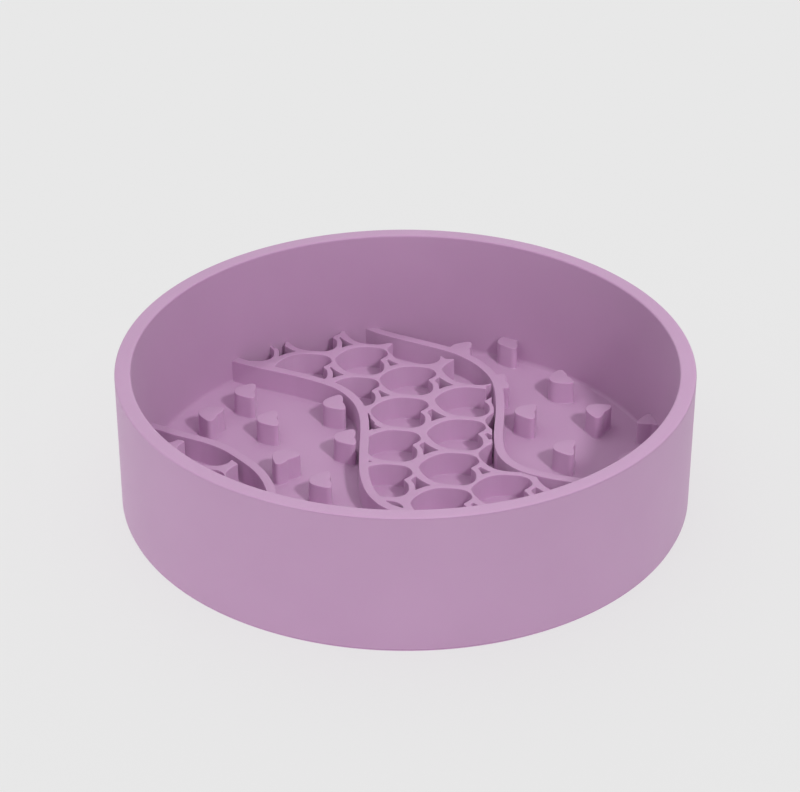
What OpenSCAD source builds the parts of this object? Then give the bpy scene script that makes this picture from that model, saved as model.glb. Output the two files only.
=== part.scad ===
// Slow feeder bowl: a straight-sided silicone bowl whose floor carries three
// S-shaped ridges, heart-shaped cells between them and free-standing heart pegs.
// The origin is the middle of the underside, on the surface the bowl stands on.

/* [Bowl] */
// Outside diameter of the straight side wall
bowl_diameter = 200; // [160:1:260]
// Height of the rim above the table
bowl_height = 51; // [40:1:80]
// Width of the flat top of the rim
rim_width = 5.6; // [4:0.1:8]
// How far the inner face leans inwards from the rim down to the floor
wall_lean = 1; // [0:0.1:4]
// Radius of the rounded rim edges
rim_edge = 0.7; // [0.2:0.1:1.5]
// Radius of the hollow corner between the wall and the floor
corner_radius = 1.5; // [1:0.5:4]

/* [Base] */
// Thickness of the floor of the bowl
floor_thickness = 2.4; // [1.6:0.1:4]
// Height of the foot ring, which lifts the floor off the table
foot_height = 0.8; // [0.5:0.1:2]
// Width of the foot ring
foot_width = 14; // [10:0.5:20]
// Step from the side wall in to the foot ring
foot_step = 0.4; // [0.2:0.1:1]

/* [Ridges] */
// Height of ridges, cell walls and pegs above the floor
maze_height = 8.8; // [6:0.1:14]
// Thickness of the three S-shaped ridges
ridge_thickness = 3.3; // [2.5:0.1:4.5]

/* [Heart cells] */
// Distance from one cell to the next along a column, as a share of the bowl's diameter
cell_pitch_share = 0.116; // [0.108:0.001:0.124]
// Length of a cell from its tip to its lobes, as a share of its width
cell_length_share = 0.986; // [0.95:0.002:1]
// Thickness of the wall round each cell, as a share of the distance between cells
cell_wall_share = 0.099; // [0.09:0.001:0.11]
// Slant of the columns of cells, in degrees
cell_slant = 7.4; // [0:0.1:15]
// Gap between the cells and the right-hand ridge
right_ridge_gap = 0.6; // [0.4:0.1:1.5]
// Gap between the cells and the left-hand ridge
left_ridge_gap = 2; // [1:0.1:3]

/* [Heart pegs] */
// Length of a peg from its tip to its lobes
peg_length = 7.9; // [7:0.1:9]
// Width of a peg across its lobes
peg_width = 10.9; // [9:0.1:12]

/* [Hidden] */
$fn = 96;
overrun = 1;
curve_steps = 2;
bowl_radius = bowl_diameter / 2;
rim_radius = bowl_radius - rim_width;
floor_level = foot_height + floor_thickness;
cell_pitch = bowl_diameter * cell_pitch_share;
cell_wall = cell_pitch * cell_wall_share;
cell_width = cell_pitch - cell_wall;
cell_length = cell_width * cell_length_share;

// Inner radius of the side wall at a height above the table
function face_radius(z) =
    rim_radius - wall_lean * (bowl_height - z) / (bowl_height - floor_level);

// The hollow corner is an arc that touches both the floor and the leaning wall
lean_angle = atan(wall_lean / (bowl_height - floor_level));
corner_level = floor_level + corner_radius;
corner_centre = face_radius(corner_level) - corner_radius / cos(lean_angle);
corner_end = [corner_centre + corner_radius * cos(lean_angle),
              corner_level - corner_radius * sin(lean_angle)];
rim_shoulder = face_radius(bowl_height - rim_edge) + rim_edge;

// Midlines of the ridges from the back of the bowl to the front, in shares of the
// bowl's radius. Both ends run on past the wall, which trims them.
left_ridge_shares = [
    [-1.12, 0.31], [-0.92, 0.21], [-0.83, 0.156], [-0.722, 0.106], [-0.644, 0.056],
    [-0.589, 0], [-0.533, -0.067], [-0.494, -0.133], [-0.467, -0.211], [-0.452, -0.31],
    [-0.45, -0.43], [-0.443, -0.54], [-0.415, -0.63], [-0.36, -0.695], [-0.27, -0.74],
    [-0.12, -0.785], [0.1, -0.845], [0.3, -0.905], [0.5, -0.97]];
middle_ridge_shares = [
    [-0.88, 0.79], [-0.661, 0.689], [-0.555, 0.639], [-0.4, 0.572], [-0.289, 0.511],
    [-0.233, 0.465], [-0.189, 0.4], [-0.162, 0.33], [-0.147, 0.233], [-0.146, 0.11],
    [-0.147, 0], [-0.144, -0.11], [-0.128, -0.205], [-0.1, -0.274], [-0.052, -0.332],
    [0.03, -0.37], [0.13, -0.4], [0.3, -0.435], [0.5, -0.48], [0.7, -0.53],
    [0.88, -0.575], [1.08, -0.63]];
right_ridge_shares = [
    [-0.38, 1.06], [-0.161, 0.939], [-0.056, 0.878], [0.056, 0.822], [0.16, 0.768],
    [0.224, 0.72], [0.279, 0.656], [0.318, 0.586], [0.339, 0.515], [0.347, 0.42],
    [0.344, 0.29], [0.334, 0.16], [0.335, 0.055], [0.352, -0.012], [0.389, -0.067],
    [0.444, -0.106], [0.522, -0.139], [0.62, -0.164], [0.76, -0.19], [0.9, -0.215],
    [1.12, -0.25]];

// Half of a cell's and of a peg's heart, from its tip round a lobe, in shares of its length
// and half its width. Both run on into the notch, in shares of the notch's depth and half
// the heart's width. The depth of a notch is a share of the heart's length.
cell_lobe_shares = [
    [0, 0], [0.06, 0.33], [0.16, 0.62], [0.3, 0.86], [0.45, 0.975], [0.64, 1],
    [0.82, 0.97], [0.945, 0.8], [1, 0.54]];
peg_lobe_shares = [
    [0, 0], [0.06, 0.34], [0.23, 0.59], [0.47, 0.79], [0.71, 0.95], [0.84, 1],
    [0.955, 0.92], [1, 0.66]];
dip_shares = [[0.24, 0.26], [0.76, 0.09], [1, 0]];
cell_notch_share = 0.125;
peg_notch_share = 0.08;

// Each column of cells: place of its tips along the slanted rows and of one cell's
// middle up the column, both counted from the bowl's centre in shares of the pitch,
// then the length of its cells and the thickness of their walls, in shares of the usual
centre_column_shares = [
    [-3.416, 0.004, 1, 0.86], [-2.446, 0.457, 1, 0.92], [-1.513, -0.192, 0.93, 1],
    [-0.713, 0.267, 1, 1], [0.248, -0.276, 1, 1], [1.1, 0.21, 1, 1],
    [2.03, -0.29, 1, 1], [2.853, 0.2, 1, 1]];
left_column_shares = [
    [-4.394, 0.323, 1, 1], [-3.489, -0.224, 1, 1], [-2.61, 0.151, 1, 1],
    [-1.78, -0.397, 1, 1], [-0.819, 0.06, 1, 1]];
rows_each_way = ceil(bowl_radius / cell_pitch);

// How deep the notch is on the outside of a cell's wall, as a share of the walled length,
// and how much more wall there is at the tip, as a share of the wall's thickness
wall_notch_share = 0.087;
wall_tip_share = 0.55;
// How far the notch lies above a cell's middle, as a share of half its width
cell_notch_rise_share = 0.12;

// Outlines of the places where the cells have no wall towards a ridge or the bowl's wall,
// in shares of the bowl's radius
open_side_shares = [
    [[0.3, 0.495], [0.35, 0.495], [0.35, 0.3], [0.326, 0.3], [0.322, 0.34], [0.315, 0.375],
     [0.318, 0.41], [0.3, 0.425]],
    [[-0.12, 0.93], [-0.09, 0.812], [-0.04, 0.81], [0.125, 0.725], [0.152, 0.69],
     [0.182, 0.69], [0.23, 0.62], [0.4, 0.6], [0.3, 0.8], [0, 0.95]],
    [[-0.5, 0.77], [-0.46, 0.795], [-0.445, 0.84], [-0.52, 0.83]],
    [[-0.16, 0.31], [-0.143, 0.305], [-0.124, 0.25], [-0.11, 0.226], [-0.118, 0.186],
     [-0.131, 0.168], [-0.16, 0.168]]];

// Places of the pegs in shares of the bowl's radius, and the way each one is turned
left_peg_shares = [
    [-0.592, 0.449], [-0.713, 0.293], [-0.499, 0.252], [-0.263, 0.365], [-0.216, 0.124],
    [-0.432, -0.001], [-0.296, -0.161], [-0.33, -0.38], [-0.2, -0.58], [-0.05, -0.44],
    [0.06, -0.66], [0.24, -0.55], [0.38, -0.74], [0.52, -0.61]];
left_peg_turns = [181, 155, 185, 190, 183, 131, 185, 150, 200, 260, 170, 120, 190, 30];
right_peg_shares = [
    [0.21, 0.772], [0.391, 0.826], [0.34, 0.522], [0.573, 0.549], [0.436, 0.308],
    [0.696, 0.321], [0.563, 0.06], [0.895, 0.252], [0.79, -0.02]];
right_peg_turns = [174, 172, 188, 204, 173, 148, 173, 80, 190];

// Point at share t of the way from b to c on a smooth curve through a, b, c and d
function curve_point(a, b, c, d, t) =
    (2 * b + (c - a) * t + (2 * a - 5 * b + 4 * c - d) * t * t
     + (3 * b - a - 3 * c + d) * t * t * t) / 2;

// Smooth closed curve through a loop of corners
function smooth_loop(p) =
    let (n = len(p))
    [for (i = [0 : n - 1], s = [0 : curve_steps - 1])
        curve_point(p[(i + n - 1) % n], p[i], p[(i + 1) % n], p[(i + 2) % n],
                    s / curve_steps)];

// Smooth open curve through the inner points of a line, without its two end points
function smooth_line(p) =
    [for (i = [1 : len(p) - 3], s = [0 : curve_steps])
        if (s < curve_steps || i == len(p) - 3)
            curve_point(p[i - 1], p[i], p[i + 1], p[i + 2], s / curve_steps)];

// Direction square to the left of the way from a to b
function left_of(a, b) = [a.y - b.y, b.x - a.x] / norm(b - a);

// An open curve moved to its left by a distance
function shift_line(q, distance) =
    let (last = len(q) - 1)
    [for (i = [0 : last])
        q[i] + distance * left_of(q[max(i - 1, 0)], q[min(i + 1, last)])];

function reversed(q) = [for (i = [len(q) - 1 : -1 : 0]) q[i]];

// Outline of a heart whose tip is at the origin and whose lobes point along +X
function heart_outline(length, width, lobe_shares, notch_share, rise_share) =
    let (dip = [for (s = dip_shares) [1 - s.x * notch_share, s.y]],
         half = concat(lobe_shares, [for (s = dip) s + [0, rise_share]]),
         other = concat([for (i = [len(dip) - 2 : -1 : 0]) [dip[i].x, rise_share - dip[i].y]],
                        [for (i = [len(lobe_shares) - 1 : -1 : 1])
                            [lobe_shares[i].x, -lobe_shares[i].y]]))
    smooth_loop([for (s = concat(half, other)) [s.x * length, s.y * width / 2]]);

// Midline of a ridge, carried past the wall at both ends by two outlying points
function ridge_line(shares) =
    let (p = shares * bowl_radius, last = len(p) - 1)
    smooth_line(concat([2 * p[0] - p[1]], p, [2 * p[last] - p[last - 1]]));

left_line = ridge_line(left_ridge_shares);
middle_line = ridge_line(middle_ridge_shares);
right_line = ridge_line(right_ridge_shares);

function cell_outline(column) =
    heart_outline(column[2] * cell_length, cell_width, cell_lobe_shares, cell_notch_share,
                  cell_notch_rise_share);

// Outside of the wall round a cell: the same heart, grown by the wall's thickness, and by a
// little more at the tip, where it meets the walls of two cells
function walled_outline(column) =
    let (wall = column[3] * cell_wall,
         tip = wall * (1 + wall_tip_share),
         grown = heart_outline(column[2] * cell_length + wall + tip, cell_width + 2 * wall,
                               cell_lobe_shares, wall_notch_share, cell_notch_rise_share))
    [for (p = grown) p - [tip, 0]];

// Section of the side wall from its rounded rim to the hollow corner and the base
module wall_section() {
    difference() {
        union() {
            polygon([
                [corner_centre, foot_height], [bowl_radius, foot_height],
                [bowl_radius, bowl_height - rim_edge],
                [bowl_radius - rim_edge, bowl_height], [rim_shoulder, bowl_height],
                [rim_shoulder - rim_edge, bowl_height - rim_edge], corner_end,
                [corner_centre, floor_level]]);
            translate([bowl_radius - rim_edge, bowl_height - rim_edge]) circle(rim_edge);
            translate([rim_shoulder, bowl_height - rim_edge]) circle(rim_edge);
        }
        translate([corner_centre, corner_level]) circle(corner_radius);
    }
}

// The space inside the bowl from the floor up to the top of the maze
module maze_space() {
    rotate_extrude()
        intersection() {
            union() {
                polygon([
                    [0, floor_level], [corner_centre, floor_level], corner_end,
                    [rim_shoulder - rim_edge, bowl_height - rim_edge],
                    [0, bowl_height - rim_edge]]);
                translate([corner_centre, corner_level]) circle(corner_radius);
            }
            translate([0, floor_level]) square([bowl_radius, maze_height]);
        }
}

// Raises a flat shape to the height of the maze and trims it to the bowl's inside
module raise_in_bowl() {
    intersection() {
        translate([0, 0, floor_level]) linear_extrude(maze_height) children();
        maze_space();
    }
}

module side_wall() {
    color("#c29fc0") rotate_extrude() wall_section();
}

module floor_disc() {
    color("#b78cb5") translate([0, 0, foot_height])
        cylinder(r = corner_centre, h = floor_thickness);
}

module foot_ring() {
    color("#b58cb2")
        difference() {
            cylinder(r = bowl_radius - foot_step, h = foot_height);
            translate([0, 0, -overrun])
                cylinder(r = bowl_radius - foot_width, h = foot_height + 2 * overrun);
        }
}

// The flat area between two lines, each moved to its left by a distance
module area_between(first, first_shift, second, second_shift) {
    polygon(concat(shift_line(first, first_shift),
                   reversed(shift_line(second, second_shift))));
}

module ridge(line) {
    color("#c59dc2")
        raise_in_bowl() area_between(line, ridge_thickness / 2, line, -ridge_thickness / 2);
}

// The band between the middle and the right ridge, which the centre cells fill
module centre_band() {
    difference() {
        area_between(middle_line, ridge_thickness / 2,
                     right_line, -ridge_thickness / 2 - right_ridge_gap);
        for (outline = open_side_shares)
            polygon(outline * bowl_radius);
    }
}

// The part of the bowl on the far side of the left ridge, out past the wall
module left_band() {
    edge = shift_line(left_line, -ridge_thickness / 2 - left_ridge_gap);
    polygon(concat(edge, [[edge[len(edge) - 1].x, -bowl_diameter],
        [-bowl_diameter, -bowl_diameter], [-bowl_diameter, edge[0].y]]));
}

// The channel between the left and the middle ridge, where the left pegs stand
module left_channel() {
    area_between(left_line, ridge_thickness / 2, middle_line, -ridge_thickness / 2);
}

// The part of the bowl beyond the right ridge, where the right pegs stand
module right_channel() {
    edge = shift_line(right_line, ridge_thickness / 2);
    polygon(concat(edge, [[bowl_diameter, edge[len(edge) - 1].y],
        [bowl_diameter, bowl_diameter], [edge[0].x, bowl_diameter]]));
}

// Puts a flat shape at every cell of a column that reaches into the bowl
module at_column(column) {
    rotate(-cell_slant)
        for (row = [-rows_each_way : rows_each_way]) {
            place = [column[0], column[1] + row] * cell_pitch;
            if (norm(place + [cell_length / 2, 0]) < bowl_radius + cell_pitch / 2)
                translate(place) children();
        }
}

// The stretch of the bowl between the middles of two neighbouring columns of cells
module column_strip(from, to) {
    rotate(-cell_slant)
        translate([from * cell_pitch + cell_length / 2, -bowl_diameter])
            square([(to - from) * cell_pitch, 2 * bowl_diameter]);
}

// The wavy wall between two columns: what grows round their cells, less the cells
module heart_wall(columns, i) {
    color("#c29ac0")
        raise_in_bowl()
            difference() {
                intersection() {
                    children();
                    column_strip(columns[i][0], columns[i + 1][0]);
                    union() {
                        at_column(columns[i]) polygon(walled_outline(columns[i]));
                        at_column(columns[i + 1]) polygon(walled_outline(columns[i + 1]));
                    }
                }
                at_column(columns[i]) polygon(cell_outline(columns[i]));
                at_column(columns[i + 1]) polygon(cell_outline(columns[i + 1]));
            }
}

// A peg with its middle at the given place and its tip turned to the given angle,
// trimmed to the channel that it stands in
module heart_peg(place, turn) {
    color("#c8a4c5")
        raise_in_bowl()
            intersection() {
                children();
                translate(place) rotate(turn + 180) translate([-peg_length / 2, 0])
                    polygon(heart_outline(peg_length, peg_width, peg_lobe_shares,
                                          peg_notch_share, 0));
            }
}

side_wall();
floor_disc();  // floor
foot_ring();
ridge(left_line);  // left_ridge
ridge(middle_line);  // middle_ridge
ridge(right_line);  // right_ridge
for (i = [0 : len(centre_column_shares) - 2])
    heart_wall(centre_column_shares, i) centre_band();
for (i = [0 : len(left_column_shares) - 2])
    heart_wall(left_column_shares, i) left_band();
for (i = [0 : len(left_peg_shares) - 1])
    heart_peg(left_peg_shares[i] * bowl_radius, left_peg_turns[i]) left_channel();
for (i = [0 : len(right_peg_shares) - 1])
    heart_peg(right_peg_shares[i] * bowl_radius, right_peg_turns[i]) right_channel();
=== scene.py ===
# A slow feeder bowl moulded in one piece from mauve silicone rubber: a straight-sided
# bowl whose floor carries S-shaped ridges, heart-shaped cells and small heart pegs.
import math
from collections import Counter

import bmesh
import bpy
import numpy as np
from mathutils import Matrix, Vector, geometry


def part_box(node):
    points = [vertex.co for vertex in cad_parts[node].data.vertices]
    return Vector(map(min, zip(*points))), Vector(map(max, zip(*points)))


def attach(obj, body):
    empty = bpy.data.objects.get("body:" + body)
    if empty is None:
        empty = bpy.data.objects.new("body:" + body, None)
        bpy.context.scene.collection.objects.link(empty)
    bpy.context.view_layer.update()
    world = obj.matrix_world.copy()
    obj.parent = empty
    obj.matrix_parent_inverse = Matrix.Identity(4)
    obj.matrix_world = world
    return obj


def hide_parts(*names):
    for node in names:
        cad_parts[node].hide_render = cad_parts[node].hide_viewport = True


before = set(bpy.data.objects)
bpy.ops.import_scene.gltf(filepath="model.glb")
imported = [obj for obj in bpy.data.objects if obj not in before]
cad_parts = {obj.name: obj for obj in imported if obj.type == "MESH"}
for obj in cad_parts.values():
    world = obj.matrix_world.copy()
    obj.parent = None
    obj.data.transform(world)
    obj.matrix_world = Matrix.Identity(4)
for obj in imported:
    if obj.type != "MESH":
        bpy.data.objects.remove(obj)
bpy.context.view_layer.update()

# Moulded silicone rubber
# The whole bowl is one shot of pigmented silicone rubber, cured in a steel mould whose
# finely blasted faces leave it matte. Light sinks a little way in, which softens its edges.
mauve = "#C49CC0"
mauve_deep = "#BE96BA"
silicone_ior = 1.41
silicone_roughness = 0.62
dust_sheen = 0.1
scatter_share = 0.25
scatter_depth = 0.0012
scatter_colour_shares = (1.0, 0.6, 0.9)
pigment_cloud = 0.03
blast_grain = 0.0004
grain_depth = 0.00006


def linear(hex_colour):
    """The linear colour, with alpha, of an sRGB hex value."""
    parts = [int(hex_colour[i:i + 2], 16) / 255 for i in (1, 3, 5)]
    return [c / 12.92 if c <= 0.04045 else ((c + 0.055) / 1.055) ** 2.4 for c in parts] + [1]


def add(tree, kind, links=(), **settings):
    """A new node: settings are its properties or inputs, links are (input, socket) pairs."""
    node = tree.nodes.new(kind)
    for key, value in settings.items():
        if hasattr(node, key):
            setattr(node, key, value)
        else:
            node.inputs[key.replace("_", " ")].default_value = value
    for key, socket in links:
        tree.links.new(socket, node.inputs[key])
    return node


def empty_material(name):
    """A new material with its node tree cleared."""
    material = bpy.data.materials.new(name)
    material.use_nodes = True
    material.node_tree.nodes.clear()
    return material


silicone = empty_material("moulded silicone rubber")
tree = silicone.node_tree
place = add(tree, "ShaderNodeTexCoord").outputs["Object"]
# Pigment stirred into the raw rubber never spreads quite evenly: broad, faint clouds
cloud = add(tree, "ShaderNodeTexNoise", [("Vector", place)],
            Scale=1 / pigment_cloud, Detail=2.0, Roughness=0.45)
tint = add(tree, "ShaderNodeMix", [("Factor", cloud.outputs["Fac"])], data_type="RGBA")
tint.inputs["A"].default_value = linear(mauve_deep)
tint.inputs["B"].default_value = linear(mauve)
# The blasted mould face gives a grain of about a tenth of a millimetre. It is drawn four times
# as coarse, so that it shows, and breaks up the highlights along the edges
grain = add(tree, "ShaderNodeTexNoise", [("Vector", place)],
            Scale=1 / blast_grain, Detail=3.0, Roughness=0.6)
bump = add(tree, "ShaderNodeBump", [("Height", grain.outputs["Fac"])],
           Strength=0.12, Distance=grain_depth)
rubber = add(tree, "ShaderNodeBsdfPrincipled",
             [("Base Color", tint.outputs["Result"]), ("Normal", bump.outputs["Normal"])],
             Roughness=silicone_roughness, IOR=silicone_ior, Sheen_Weight=dust_sheen,
             Sheen_Roughness=0.6, Subsurface_Weight=scatter_share,
             Subsurface_Scale=scatter_depth)
rubber.inputs["Subsurface Radius"].default_value = scatter_colour_shares
add(tree, "ShaderNodeOutputMaterial", [("Surface", rubber.outputs["BSDF"])])

# Bowl shell
# The upright wall, the floor and the foot ring, one thick skin of silicone that comes out of
# the mould in one pull. Inside, the wall leans in by a hair, so that the mould's core draws.
wall_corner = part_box("side_wall")[1]
bowl_radius = wall_corner.x
bowl_height = wall_corner.z
floor_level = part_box("floor")[1].z
foot_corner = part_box("foot_ring")[1]
foot_radius = foot_corner.x
foot_height = foot_corner.z
foot_width = 0.014
foot_edge = 0.0003
base_edge = 0.0005
rim_width = 0.0056
rim_edge = 0.0007
wall_lean = 0.001
corner_radius = 0.0015
corner_steps = 6
turn_steps = 256


def rounded(corners):
    """A line of (r, z) points through corners (r, z, radius), with each corner an arc."""
    points = []
    for i, (r, z, radius) in enumerate(corners):
        here = Vector((r, z))
        if radius == 0:
            points.append(here)
            continue
        back = (Vector(corners[i - 1][:2]) - here).normalized()
        ahead = (Vector(corners[i + 1][:2]) - here).normalized()
        half = back.angle(ahead) / 2
        centre = here + (back + ahead).normalized() * radius / math.sin(half)
        first = here + back * radius / math.tan(half) - centre
        last = here + ahead * radius / math.tan(half) - centre
        for step in range(corner_steps + 1):
            way = first.normalized().slerp(last.normalized(), step / corner_steps)
            points.append(centre + way * radius)
    return points


def new_piece(name, verts, faces):
    """A smooth-shaded object of the bowl's rubber, with its place in its mesh."""
    mesh = bpy.data.meshes.new(name)
    mesh.from_pydata([tuple(v) for v in verts], [], faces)
    mesh.shade_smooth()
    piece = bpy.data.objects.new(name, mesh)
    bpy.context.scene.collection.objects.link(piece)
    mesh.materials.append(silicone)
    return piece


def turned(name, profile):
    """A closed body of revolution from a profile that starts and ends on the Z axis."""
    ring = profile[1:-1]
    verts = [(0, 0, profile[0].y)]
    for step in range(turn_steps):
        angle = math.tau * step / turn_steps
        verts += [(p.x * math.cos(angle), p.x * math.sin(angle), p.y) for p in ring]
    verts.append((0, 0, profile[-1].y))
    count, last = len(ring), len(verts) - 1
    faces = []
    for step in range(turn_steps):
        here = 1 + step * count
        there = 1 + (step + 1) % turn_steps * count
        faces.append((0, there, here))
        faces += [(here + i, there + i, there + i + 1, here + i + 1) for i in range(count - 1)]
        faces.append((here + count - 1, there + count - 1, last))
    return new_piece(name, verts, faces)


foot_inside = bowl_radius - foot_width
rim_radius = bowl_radius - rim_width
floor_edge = rim_radius - wall_lean
bowl_shell = turned("bowl_shell", rounded([
    (0, foot_height, 0),
    (foot_inside, foot_height, foot_edge),
    (foot_inside, 0, foot_edge),
    (foot_radius, 0, foot_edge),
    (foot_radius, foot_height, 0),
    (bowl_radius, foot_height, base_edge),
    (bowl_radius, bowl_height, rim_edge),
    (rim_radius, bowl_height, rim_edge),
    (floor_edge, floor_level, corner_radius),
    (0, floor_level, 0)]))
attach(bowl_shell, "root")
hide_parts("side_wall", "floor", "foot_ring")

# Ridges and heart cells
# Three S-shaped ridges, and the thin walls of the heart-shaped cells that lean on them, of the
# same rubber. They are moulded with the floor: rounded along the top, flared where they meet it.
maze_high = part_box("middle_ridge")[1].z
top_edge = 0.0003
root_flare = 0.0003
arc_steps = 5
# Each side draws in by this much from root to top, so that the mould lets go
draft = 0.00012
# How far the walls run on into the bowl's wall and floor, so that no gap shows
wall_bury = 0.0012
floor_bury = 0.0004
# An outline is drawn again in even steps, and each pass rounds its corners a little more
outline_step = 0.0004
outline_passes = 2
least_points = 12
least_outline = 1e-6
wall_slack = 0.0001
same_level = 1e-6
# The triangulation works in millimetres, and these reaches are in its units
in_millimetres = 1000
join_reach = 0.01
weld_reach = 0.02
cap_reach = 1e-6


def area_within(outline):
    """The area inside an outline, below zero where the outline runs clockwise."""
    x, y = np.array(outline).T
    return (x @ np.roll(y, -1) - y @ np.roll(x, -1)) / 2


def top_outlines(names):
    """The closed outlines of the flat tops of CAD nodes, taken as one shape, as arrays.

    Slits between neighbouring nodes that are too small to mould are left out."""
    points, triangles = [], []
    for name in names:
        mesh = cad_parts[name].data
        mesh.calc_loop_triangles()
        top = max(v.co.z for v in mesh.vertices) - same_level
        for triangle in mesh.loop_triangles:
            corners = [mesh.vertices[i].co for i in triangle.vertices]
            if min(c.z for c in corners) > top:
                triangles.append([len(points), len(points) + 1, len(points) + 2])
                points += [c.xy * in_millimetres for c in corners]
    joined = geometry.delaunay_2d_cdt(points, [], triangles, 0, join_reach)
    flat, faces, sources = np.array(joined[0]), joined[2], joined[5]
    same = [int(np.argmax(np.hypot(*(flat - v).T) < weld_reach)) for v in flat]
    # An edge that two triangles run along both ways is inside the shape, and cancels out
    edges = Counter()
    for face, source in zip(faces, sources):
        if source:
            ring = [same[i] for i in face]
            edges.update(zip(ring, ring[1:] + ring[:1]))
    after = {}
    for (a, b), times in edges.items():
        for _ in range(times - edges[b, a]):
            after.setdefault(a, []).append(b)
    outlines = []
    while after:
        start = next(iter(after))
        loop = [start]
        while True:
            here = after[loop[-1]].pop()
            if not after[loop[-1]]:
                del after[loop[-1]]
            if here == start:
                break
            loop.append(here)
        outline = flat[loop] / in_millimetres
        if abs(area_within(outline)) > least_outline:
            outlines.append(outline)
    return outlines


def face_radius(z):
    """Inner radius of the bowl's wall at a height."""
    return rim_radius - wall_lean * (bowl_height - z) / (bowl_height - floor_level)


def evened(values):
    """Values round an outline, each moved half way to the mean of its two neighbours."""
    return (np.roll(values, 1, 0) + 2 * values + np.roll(values, -1, 0)) / 4


def softened(outline):
    """An outline in even steps with its corners rounded, and run on into the bowl's wall."""
    inside = face_radius(maze_high)
    radius = np.hypot(*outline.T)
    reach = np.where(radius > inside - wall_slack, inside + wall_bury, radius)
    outline = outline * (reach / radius)[:, None]
    closed = np.vstack([outline, outline[:1]])
    along = np.concatenate([[0], np.cumsum(np.hypot(*np.diff(closed, axis=0).T))])
    count = max(least_points, round(along[-1] / outline_step))
    marks = np.linspace(0, along[-1], count, endpoint=False)
    even = np.stack([np.interp(marks, along, closed[:, i]) for i in (0, 1)], 1)
    for _ in range(outline_passes):
        even = evened(even)
    return even


def outward(outline):
    """Directions that point out of the solid from each point of an outline."""
    along = np.roll(outline, -1, 0) - np.roll(outline, 1, 0)
    along /= np.hypot(*along.T)[:, None]
    return np.stack([along[:, 1], -along[:, 0]], 1)


# Two edges that move towards each other take this share of the gap each. Another wall is in
# the way where the cosine of its angle to the direction is above look_cosine
gap_share = 0.45
look_cosine = 0.6
same_place = 1e-6
room_passes = 4
fold_tries = 12


def without_folds(outline, ways, room):
    """The room again, halved wherever the moved outline would fold back on itself."""
    steps = np.roll(outline, -1, 0) - outline
    for _ in range(fold_tries):
        moved = outline + ways * room
        folds = ((np.roll(moved, -1, 0) - moved) * steps).sum(1) < 0
        if not folds.any():
            break
        near = folds | np.roll(folds, 1) | np.roll(folds, 2) | np.roll(folds, -1)
        room = np.where(near[:, None], room / 2, room)
    return room


def clear_way(outlines, directions, reach):
    """How far each point can move along its direction before it nears another wall."""
    points = np.vstack(outlines)
    aims = np.vstack(directions)
    limits = np.full(len(points), reach)
    for i in range(len(points)):
        gap = points - points[i]
        near = np.flatnonzero((np.abs(gap) < reach / gap_share).all(1))
        distance = np.hypot(*gap[near].T)
        facing = gap[near] @ aims[i] > look_cosine * distance
        ahead = distance[facing & (distance > same_place)]
        if len(ahead):
            limits[i] = min(reach, gap_share * ahead.min())
    rooms = []
    for outline, ways in zip(outlines, directions):
        limit, limits = limits[:len(outline)], limits[len(outline):]
        room = np.minimum(limit, np.minimum(np.roll(limit, 1), np.roll(limit, -1)))
        for _ in range(room_passes):
            room = evened(room)
        rooms.append(without_folds(outline, ways, np.minimum(room, limit)[:, None]))
    return rooms


def close_level(bm, rings, upward):
    """Triangles that close the walls at a level, and leave the holes between them open."""
    corners = [corner for ring in rings for corner in ring]
    flat = [corner.co.xy * in_millimetres for corner in corners]
    loops, start = [], 0
    for ring in rings:
        loop = list(range(start, start + len(ring)))
        loops.append(loop if area_within([flat[i] for i in loop]) > 0 else loop[::-1])
        start += len(ring)
    # A triangle is rubber where an odd number of the loops run round it
    _, _, faces, places, _, sources = geometry.delaunay_2d_cdt(flat, [], loops, 0, cap_reach)
    for face, source in zip(faces, sources):
        if len(source) % 2:
            ring = [corners[places[i][0]] for i in face]
            bm.faces.new(ring if upward else ring[::-1])


def moulded_walls(name, outlines, edge=top_edge, flare=root_flare):
    """A closed solid on the floor from outlines of its top, rounded there, flared below."""
    outlines = [softened(outline) for outline in outlines]
    out = [outward(outline) for outline in outlines]
    insets = clear_way(outlines, [-ways for ways in out], edge)
    spreads = clear_way(outlines, out, flare)
    arc = [math.pi / 2 * i / arc_steps for i in range(arc_steps + 1)]
    bm = bmesh.new()
    lowest, highest = [], []
    for outline, ways, inset, spread in zip(outlines, out, insets, spreads):
        rings = [(outline, floor_level - floor_bury)]
        rings += [(outline + ways * (spread * (1 - math.sin(a)) + draft),
                   floor_level + flare * (1 - math.cos(a))) for a in arc]
        rings += [(outline - ways * inset * (1 - math.cos(a)),
                   maze_high - edge * (1 - math.sin(a))) for a in arc]
        grid = [[bm.verts.new((x, y, z)) for x, y in ring] for ring, z in rings]
        for low, high in zip(grid, grid[1:]):
            for i in range(len(low)):
                j = (i + 1) % len(low)
                bm.faces.new((low[i], low[j], high[j], high[i]))
        lowest.append(grid[0])
        highest.append(grid[-1])
    close_level(bm, lowest, False)
    close_level(bm, highest, True)
    piece = new_piece(name, [], [])
    bm.to_mesh(piece.data)
    bm.free()
    piece.data.shade_smooth()
    return piece


def node_names(start):
    """The CAD nodes whose names begin alike, in the order of their numbers."""
    names = [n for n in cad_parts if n.startswith(start)]
    return sorted(names, key=lambda n: int(n.rsplit("_", 1)[1]))


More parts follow.
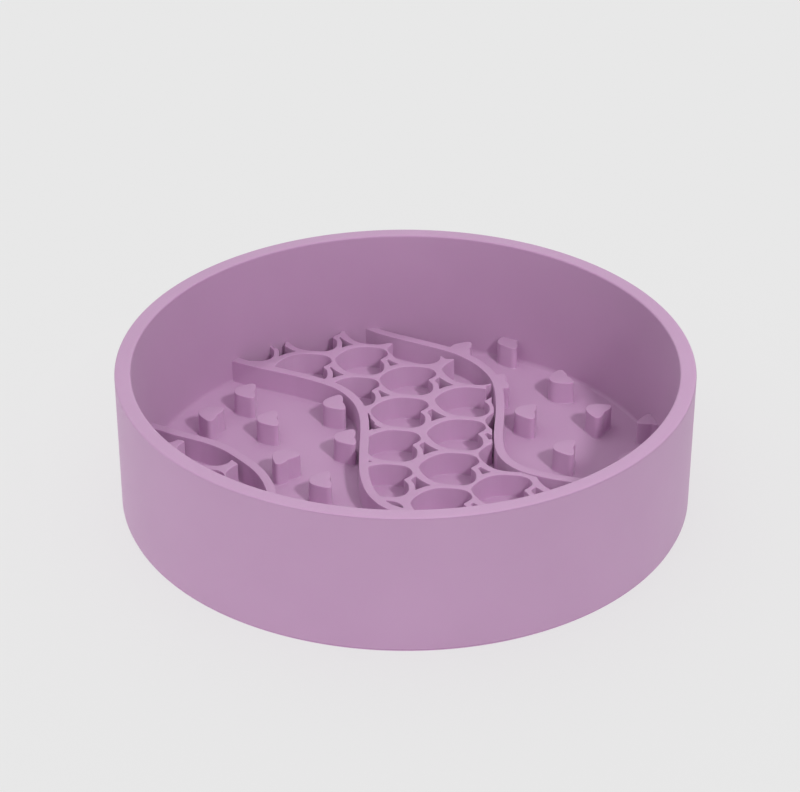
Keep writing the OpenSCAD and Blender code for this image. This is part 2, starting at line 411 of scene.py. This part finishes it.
# Two pegs grow out of the right ridge and belong to its outline. Two others run into the
# bowl's wall, which cuts their hearts, so each of those keeps an outline of its own
merged_pegs = ["right_heart_peg_1", "right_heart_peg_3"]
wall_pegs = ["right_heart_peg_2", "right_heart_peg_8"]
lattices = {
    "left_ridge": ["left_ridge"],
    "centre_lattice": ["middle_ridge"] + node_names("centre_heart_wall_"),
    "right_ridge": ["right_ridge"] + merged_pegs,
    "left_lattice": node_names("left_heart_wall_")}
for name, nodes in lattices.items():
    wall = moulded_walls(name + "_walls", top_outlines(nodes))
    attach(wall, "root")
    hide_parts(*nodes)

# Heart pegs
# Small heart-shaped studs of the same rubber, moulded with the floor between and beyond the
# ridges. Each is turned its own way, with its top edge broken and its root flared.
peg_edge = 0.0003
peg_flare = 0.0004


def peg_stance(name):
    """Middle of a peg's flat top, and the turn, in radians, at which its tip points."""
    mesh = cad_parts[name].data
    mesh.calc_loop_triangles()
    corners = np.array([[mesh.vertices[i].co for i in t.vertices] for t in mesh.loop_triangles])
    corners = corners[corners[:, :, 2].min(1) > maze_high - same_level][:, :, :2]
    one, two = corners[:, 1] - corners[:, 0], corners[:, 2] - corners[:, 0]
    area = np.abs(one[:, 0] * two[:, 1] - one[:, 1] * two[:, 0]) / 2
    middle = area @ corners.mean(1) / area.sum()
    # A heart spreads least along the line from its notch to its tip, and of the two ends of that
    # line the tip lies farther from its middle
    arms = corners - middle
    total = arms.sum(1)
    spread = (np.einsum("t,tij,tik->jk", area, arms, arms)
              + np.einsum("t,tj,tk->jk", area, total, total))
    axis = np.linalg.eigh(spread)[1][:, 0]
    reach = arms.reshape(-1, 2) @ axis
    tip = axis if reach.max() > -reach.min() else -axis
    return middle, math.atan2(tip[1], tip[0])


for name in wall_pegs:
    peg = moulded_walls(name + "_shape", top_outlines([name]), peg_edge, peg_flare)
    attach(peg, "root")
    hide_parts(name)

blank_name = "left_heart_peg_3"
peg_blank = moulded_walls("peg_blank", top_outlines([blank_name]), peg_edge, peg_flare)
spot, blank_turn = peg_stance(blank_name)
peg_blank.data.transform(Matrix.Rotation(-blank_turn, 4, "Z")
                         @ Matrix.Translation((-spot[0], -spot[1], 0)))

peg_tree = bpy.data.node_groups.new("heart pegs on their places", "GeometryNodeTree")
for label, kind in (("Places", "Geometry"), ("Peg", "Object"), ("Silicone", "Material")):
    peg_tree.interface.new_socket(label, in_out="INPUT", socket_type="NodeSocket" + kind)
peg_tree.interface.new_socket("Pegs", in_out="OUTPUT", socket_type="NodeSocketGeometry")
given = add(peg_tree, "NodeGroupInput").outputs
shape = add(peg_tree, "GeometryNodeObjectInfo", [("Object", given["Peg"])])
turn = add(peg_tree, "GeometryNodeInputNamedAttribute", Name="turn")
turned_way = add(peg_tree, "ShaderNodeCombineXYZ", [("Z", turn.outputs["Attribute"])])
stood = add(peg_tree, "GeometryNodeInstanceOnPoints",
            [("Points", given["Places"]), ("Instance", shape.outputs["Geometry"]),
             ("Rotation", turned_way.outputs["Vector"])])
real = add(peg_tree, "GeometryNodeRealizeInstances", [("Geometry", stood.outputs["Instances"])])
dressed = add(peg_tree, "GeometryNodeSetMaterial",
              [("Geometry", real.outputs["Geometry"]), ("Material", given["Silicone"])])
add(peg_tree, "NodeGroupOutput", [("Pegs", dressed.outputs["Geometry"])])
sockets = {s.name: s.identifier for s in peg_tree.interface.items_tree}

for side in ("left", "right"):
    names = [n for n in node_names(side + "_heart_peg_")
             if n not in merged_pegs + wall_pegs]
    stances = [peg_stance(n) for n in names]
    spots = bpy.data.meshes.new(side + "_peg_places")
    spots.from_pydata([(x, y, 0) for (x, y), angle in stances], [], [])
    spots.attributes.new("turn", "FLOAT", "POINT")
    spots.attributes["turn"].data.foreach_set("value", [angle for middle, angle in stances])
    holder = bpy.data.objects.new(side + "_peg_places", spots)
    bpy.context.scene.collection.objects.link(holder)
    modifier = holder.modifiers.new("pegs", "NODES")
    modifier.node_group = peg_tree
    modifier[sockets["Peg"]] = peg_blank
    modifier[sockets["Silicone"]] = silicone
    depsgraph = bpy.context.evaluated_depsgraph_get()
    mesh = bpy.data.meshes.new_from_object(holder.evaluated_get(depsgraph))
    bpy.data.objects.remove(holder)
    mesh.shade_smooth()
    pegs = bpy.data.objects.new(side + "_heart_pegs", mesh)
    bpy.context.scene.collection.objects.link(pegs)
    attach(pegs, "root")
    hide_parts(*names)
bpy.data.objects.remove(peg_blank)

# Floor and backdrop
# A sheet of white paper over a light table. The glow from below lights the bowl's upright side
# as evenly as its rim. The camera sees the paper evenly lit, with a trace of the bowl's shadow.
paper = "#E8E8E8"
white = linear("#FFFFFF")
paper_half = 3.0
table_glow = 0.5
shadow_share = 0.3
paper_light = 1.125


def seen_or_mirrored(tree):
    """1 for rays that come from the camera, off a gloss or through glass, and 0 for others."""
    path = add(tree, "ShaderNodeLightPath").outputs
    mirrored = add(tree, "ShaderNodeMath", [(0, path["Is Glossy Ray"]),
                                            (1, path["Is Transmission Ray"])],
                   operation="MAXIMUM")
    seen = add(tree, "ShaderNodeMath", [(0, path["Is Camera Ray"]),
                                        (1, mirrored.outputs["Value"])], operation="MAXIMUM")
    return seen.outputs["Value"]


backdrop = empty_material("white paper on a light table")
tree = backdrop.node_tree
sheet = add(tree, "ShaderNodeBsdfDiffuse", Color=linear(paper))
glow = add(tree, "ShaderNodeEmission", Color=white, Strength=table_glow)
unshaded = add(tree, "ShaderNodeEmission", Color=linear(paper), Strength=paper_light)
lit_table = add(tree, "ShaderNodeAddShader", [(0, sheet.outputs["BSDF"]),
                                              (1, glow.outputs["Emission"])])
shown = add(tree, "ShaderNodeMixShader", [(1, unshaded.outputs["Emission"]),
                                          (2, sheet.outputs["BSDF"])], Fac=shadow_share)
paper_face = add(tree, "ShaderNodeMixShader",
                 [("Fac", seen_or_mirrored(tree)), (1, lit_table.outputs["Shader"]),
                  (2, shown.outputs["Shader"])])
add(tree, "ShaderNodeOutputMaterial", [("Surface", paper_face.outputs["Shader"])])
floor_mesh = bpy.data.meshes.new("studio_floor")
floor_mesh.from_pydata([(-paper_half, -paper_half, 0), (paper_half, -paper_half, 0),
                        (paper_half, paper_half, 0), (-paper_half, paper_half, 0)],
                       [], [(0, 1, 2, 3)])
studio_floor = bpy.data.objects.new("studio_floor", floor_mesh)
bpy.context.scene.collection.objects.link(studio_floor)
studio_floor.data.materials.append(backdrop)

# Studio light
# A white light tent, dimmer to the left and right, and one lamp in front of the bowl on the
# right, which throws the short shadows of the pegs and walls. A gobo before the lamp keeps its
# light inside the rim, and holds back part of what would fall on the wall's inner face.
tent_side = 0.83
tent_top = 0.78
# The heights, in shares of straight up, between which the tent's sides turn into its top
top_from = 0.65
top_full = 0.9
side_dimming = 0.5
right_dimming = 0.1
key_way = Vector((0.63, -0.94, 1.0))
key_distance = 1.6
key_power = 46
key_size = 0.085
key_cone = math.radians(130)
wall_light_share = 0.66
gobo_blur = 0.0002
world = bpy.data.worlds.new("light tent")
bpy.context.scene.world = world
world.use_nodes = True
tree = world.node_tree
tree.nodes.clear()
sky = add(tree, "ShaderNodeTexCoord").outputs["Generated"]
way = add(tree, "ShaderNodeSeparateXYZ", [("Vector", sky)]).outputs
overhead = add(tree, "ShaderNodeMapRange", [("Value", way["Z"])],
               interpolation_type="SMOOTHSTEP", From_Min=top_from, From_Max=top_full,
               To_Min=tent_side, To_Max=tent_top)
# The tent keeps 1 - x * (side_dimming * x + right_dimming) of its light
dimmed = add(tree, "ShaderNodeMath", [(0, way["X"])], operation="MULTIPLY_ADD")
dimmed.inputs[1].default_value = -side_dimming
dimmed.inputs[2].default_value = -right_dimming
kept = add(tree, "ShaderNodeMath", [(0, dimmed.outputs["Value"]), (1, way["X"])],
           operation="MULTIPLY_ADD")
kept.inputs[2].default_value = 1
strength = add(tree, "ShaderNodeMath", [(0, overhead.outputs["Result"]),
                                        (1, kept.outputs["Value"])], operation="MULTIPLY")
tent = add(tree, "ShaderNodeBackground", [("Strength", strength.outputs["Value"])],
           Color=white)
seen_wall = add(tree, "ShaderNodeBackground", Color=linear(paper))
tent_wall = add(tree, "ShaderNodeMixShader",
                [("Fac", seen_or_mirrored(tree)), (1, tent.outputs["Background"]),
                 (2, seen_wall.outputs["Background"])])
add(tree, "ShaderNodeOutputWorld", [("Surface", tent_wall.outputs["Shader"])])
key_place = key_way.normalized() * key_distance + Vector((0, 0, bowl_height))
key = bpy.data.lights.new("lamp with a gobo", "SPOT")
key.energy = key_power
key.shadow_soft_size = key_size
key.spot_size = key_cone
key.spot_blend = 0
key.use_nodes = True
tree = key.node_tree
tree.nodes.clear()
# The lamp object isn't turned, so its own coordinates only differ from the bowl's by its place
lamp_space = add(tree, "ShaderNodeTexCoord").outputs
start = add(tree, "ShaderNodeSeparateXYZ", [("Vector", lamp_space["Object"])]).outputs
beam = add(tree, "ShaderNodeSeparateXYZ", [("Vector", lamp_space["Normal"])]).outputs


def beam_within(height, radius, soft):
    """A mask that is 1 where a ray of the lamp passes a height inside a circle round Z.

    It falls to 0 at the circle, over a soft band inside it."""
    climb = add(tree, "ShaderNodeMath", [(1, start["Z"])], operation="SUBTRACT")
    climb.inputs[0].default_value = height - key_place.z
    far = add(tree, "ShaderNodeMath", [(0, climb.outputs["Value"]), (1, beam["Z"])],
              operation="DIVIDE")
    passing = []
    for axis in ("X", "Y"):
        along = add(tree, "ShaderNodeMath", [(0, beam[axis]), (1, far.outputs["Value"]),
                                             (2, start[axis])], operation="MULTIPLY_ADD")
        passing.append(along.outputs["Value"])
    spot = add(tree, "ShaderNodeCombineXYZ", [("X", passing[0]), ("Y", passing[1])])
    away = add(tree, "ShaderNodeVectorMath", [(0, spot.outputs["Vector"])],
               operation="DISTANCE")
    away.inputs[1].default_value = (-key_place.x, -key_place.y, 0)
    mask = add(tree, "ShaderNodeMapRange", [("Value", away.outputs["Value"])],
               interpolation_type="SMOOTHSTEP", From_Min=radius - soft, From_Max=radius,
               To_Min=1.0, To_Max=0.0)
    return mask.outputs["Result"]


def light_share(mask, outside, inside):
    """The share of the light that passes outside and inside a mask."""
    share = add(tree, "ShaderNodeMath", [(0, mask)], operation="MULTIPLY_ADD")
    share.inputs[1].default_value = inside - outside
    share.inputs[2].default_value = outside
    return share.outputs["Value"]


# A ray that comes in through the rim and misses the floor would land on the inner wall
off_floor = light_share(beam_within(floor_level, floor_edge, corner_radius), 1, 0)
on_wall = add(tree, "ShaderNodeMath",
              [(0, beam_within(bowl_height, rim_radius, gobo_blur)), (1, off_floor)],
              operation="MULTIPLY")
through = add(tree, "ShaderNodeMath",
              [(0, beam_within(bowl_height, bowl_radius, gobo_blur)),
               (1, light_share(on_wall.outputs["Value"], 1, wall_light_share))],
              operation="MULTIPLY")
bulb = add(tree, "ShaderNodeEmission", [("Strength", through.outputs["Value"])],
           Color=white)
add(tree, "ShaderNodeOutputLight", [("Surface", bulb.outputs["Emission"])])
key_lamp = bpy.data.objects.new("lamp with a gobo", key)
bpy.context.scene.collection.objects.link(key_lamp)
key_lamp.location = key_place
key_lamp.visible_camera = False

# Camera
# Where the photograph was taken from, found by fitting the rim and the base to it: just under
# 30 degrees above the table and 0.85 m from the middle of the rim, with a long lens.
camera_place = Vector((0, -0.7388, 0.4721))
camera_aim = Vector((-0.0018, -0.0249, 0.051))
camera_roll = math.radians(0.05)
lens_mm = 110.9
film_width_mm = 36
camera = bpy.data.cameras.new("camera")
camera.lens = lens_mm
camera.sensor_width = film_width_mm
camera_object = bpy.data.objects.new("camera", camera)
bpy.context.scene.collection.objects.link(camera_object)
look = (camera_aim - camera_place).to_track_quat("-Z", "Y").to_matrix().to_4x4()
camera_object.matrix_world = (Matrix.Translation(camera_place) @ look
                              @ Matrix.Rotation(camera_roll, 4, "Z"))
bpy.context.scene.camera = camera_object
bpy.context.scene.view_settings.view_transform = "Standard"
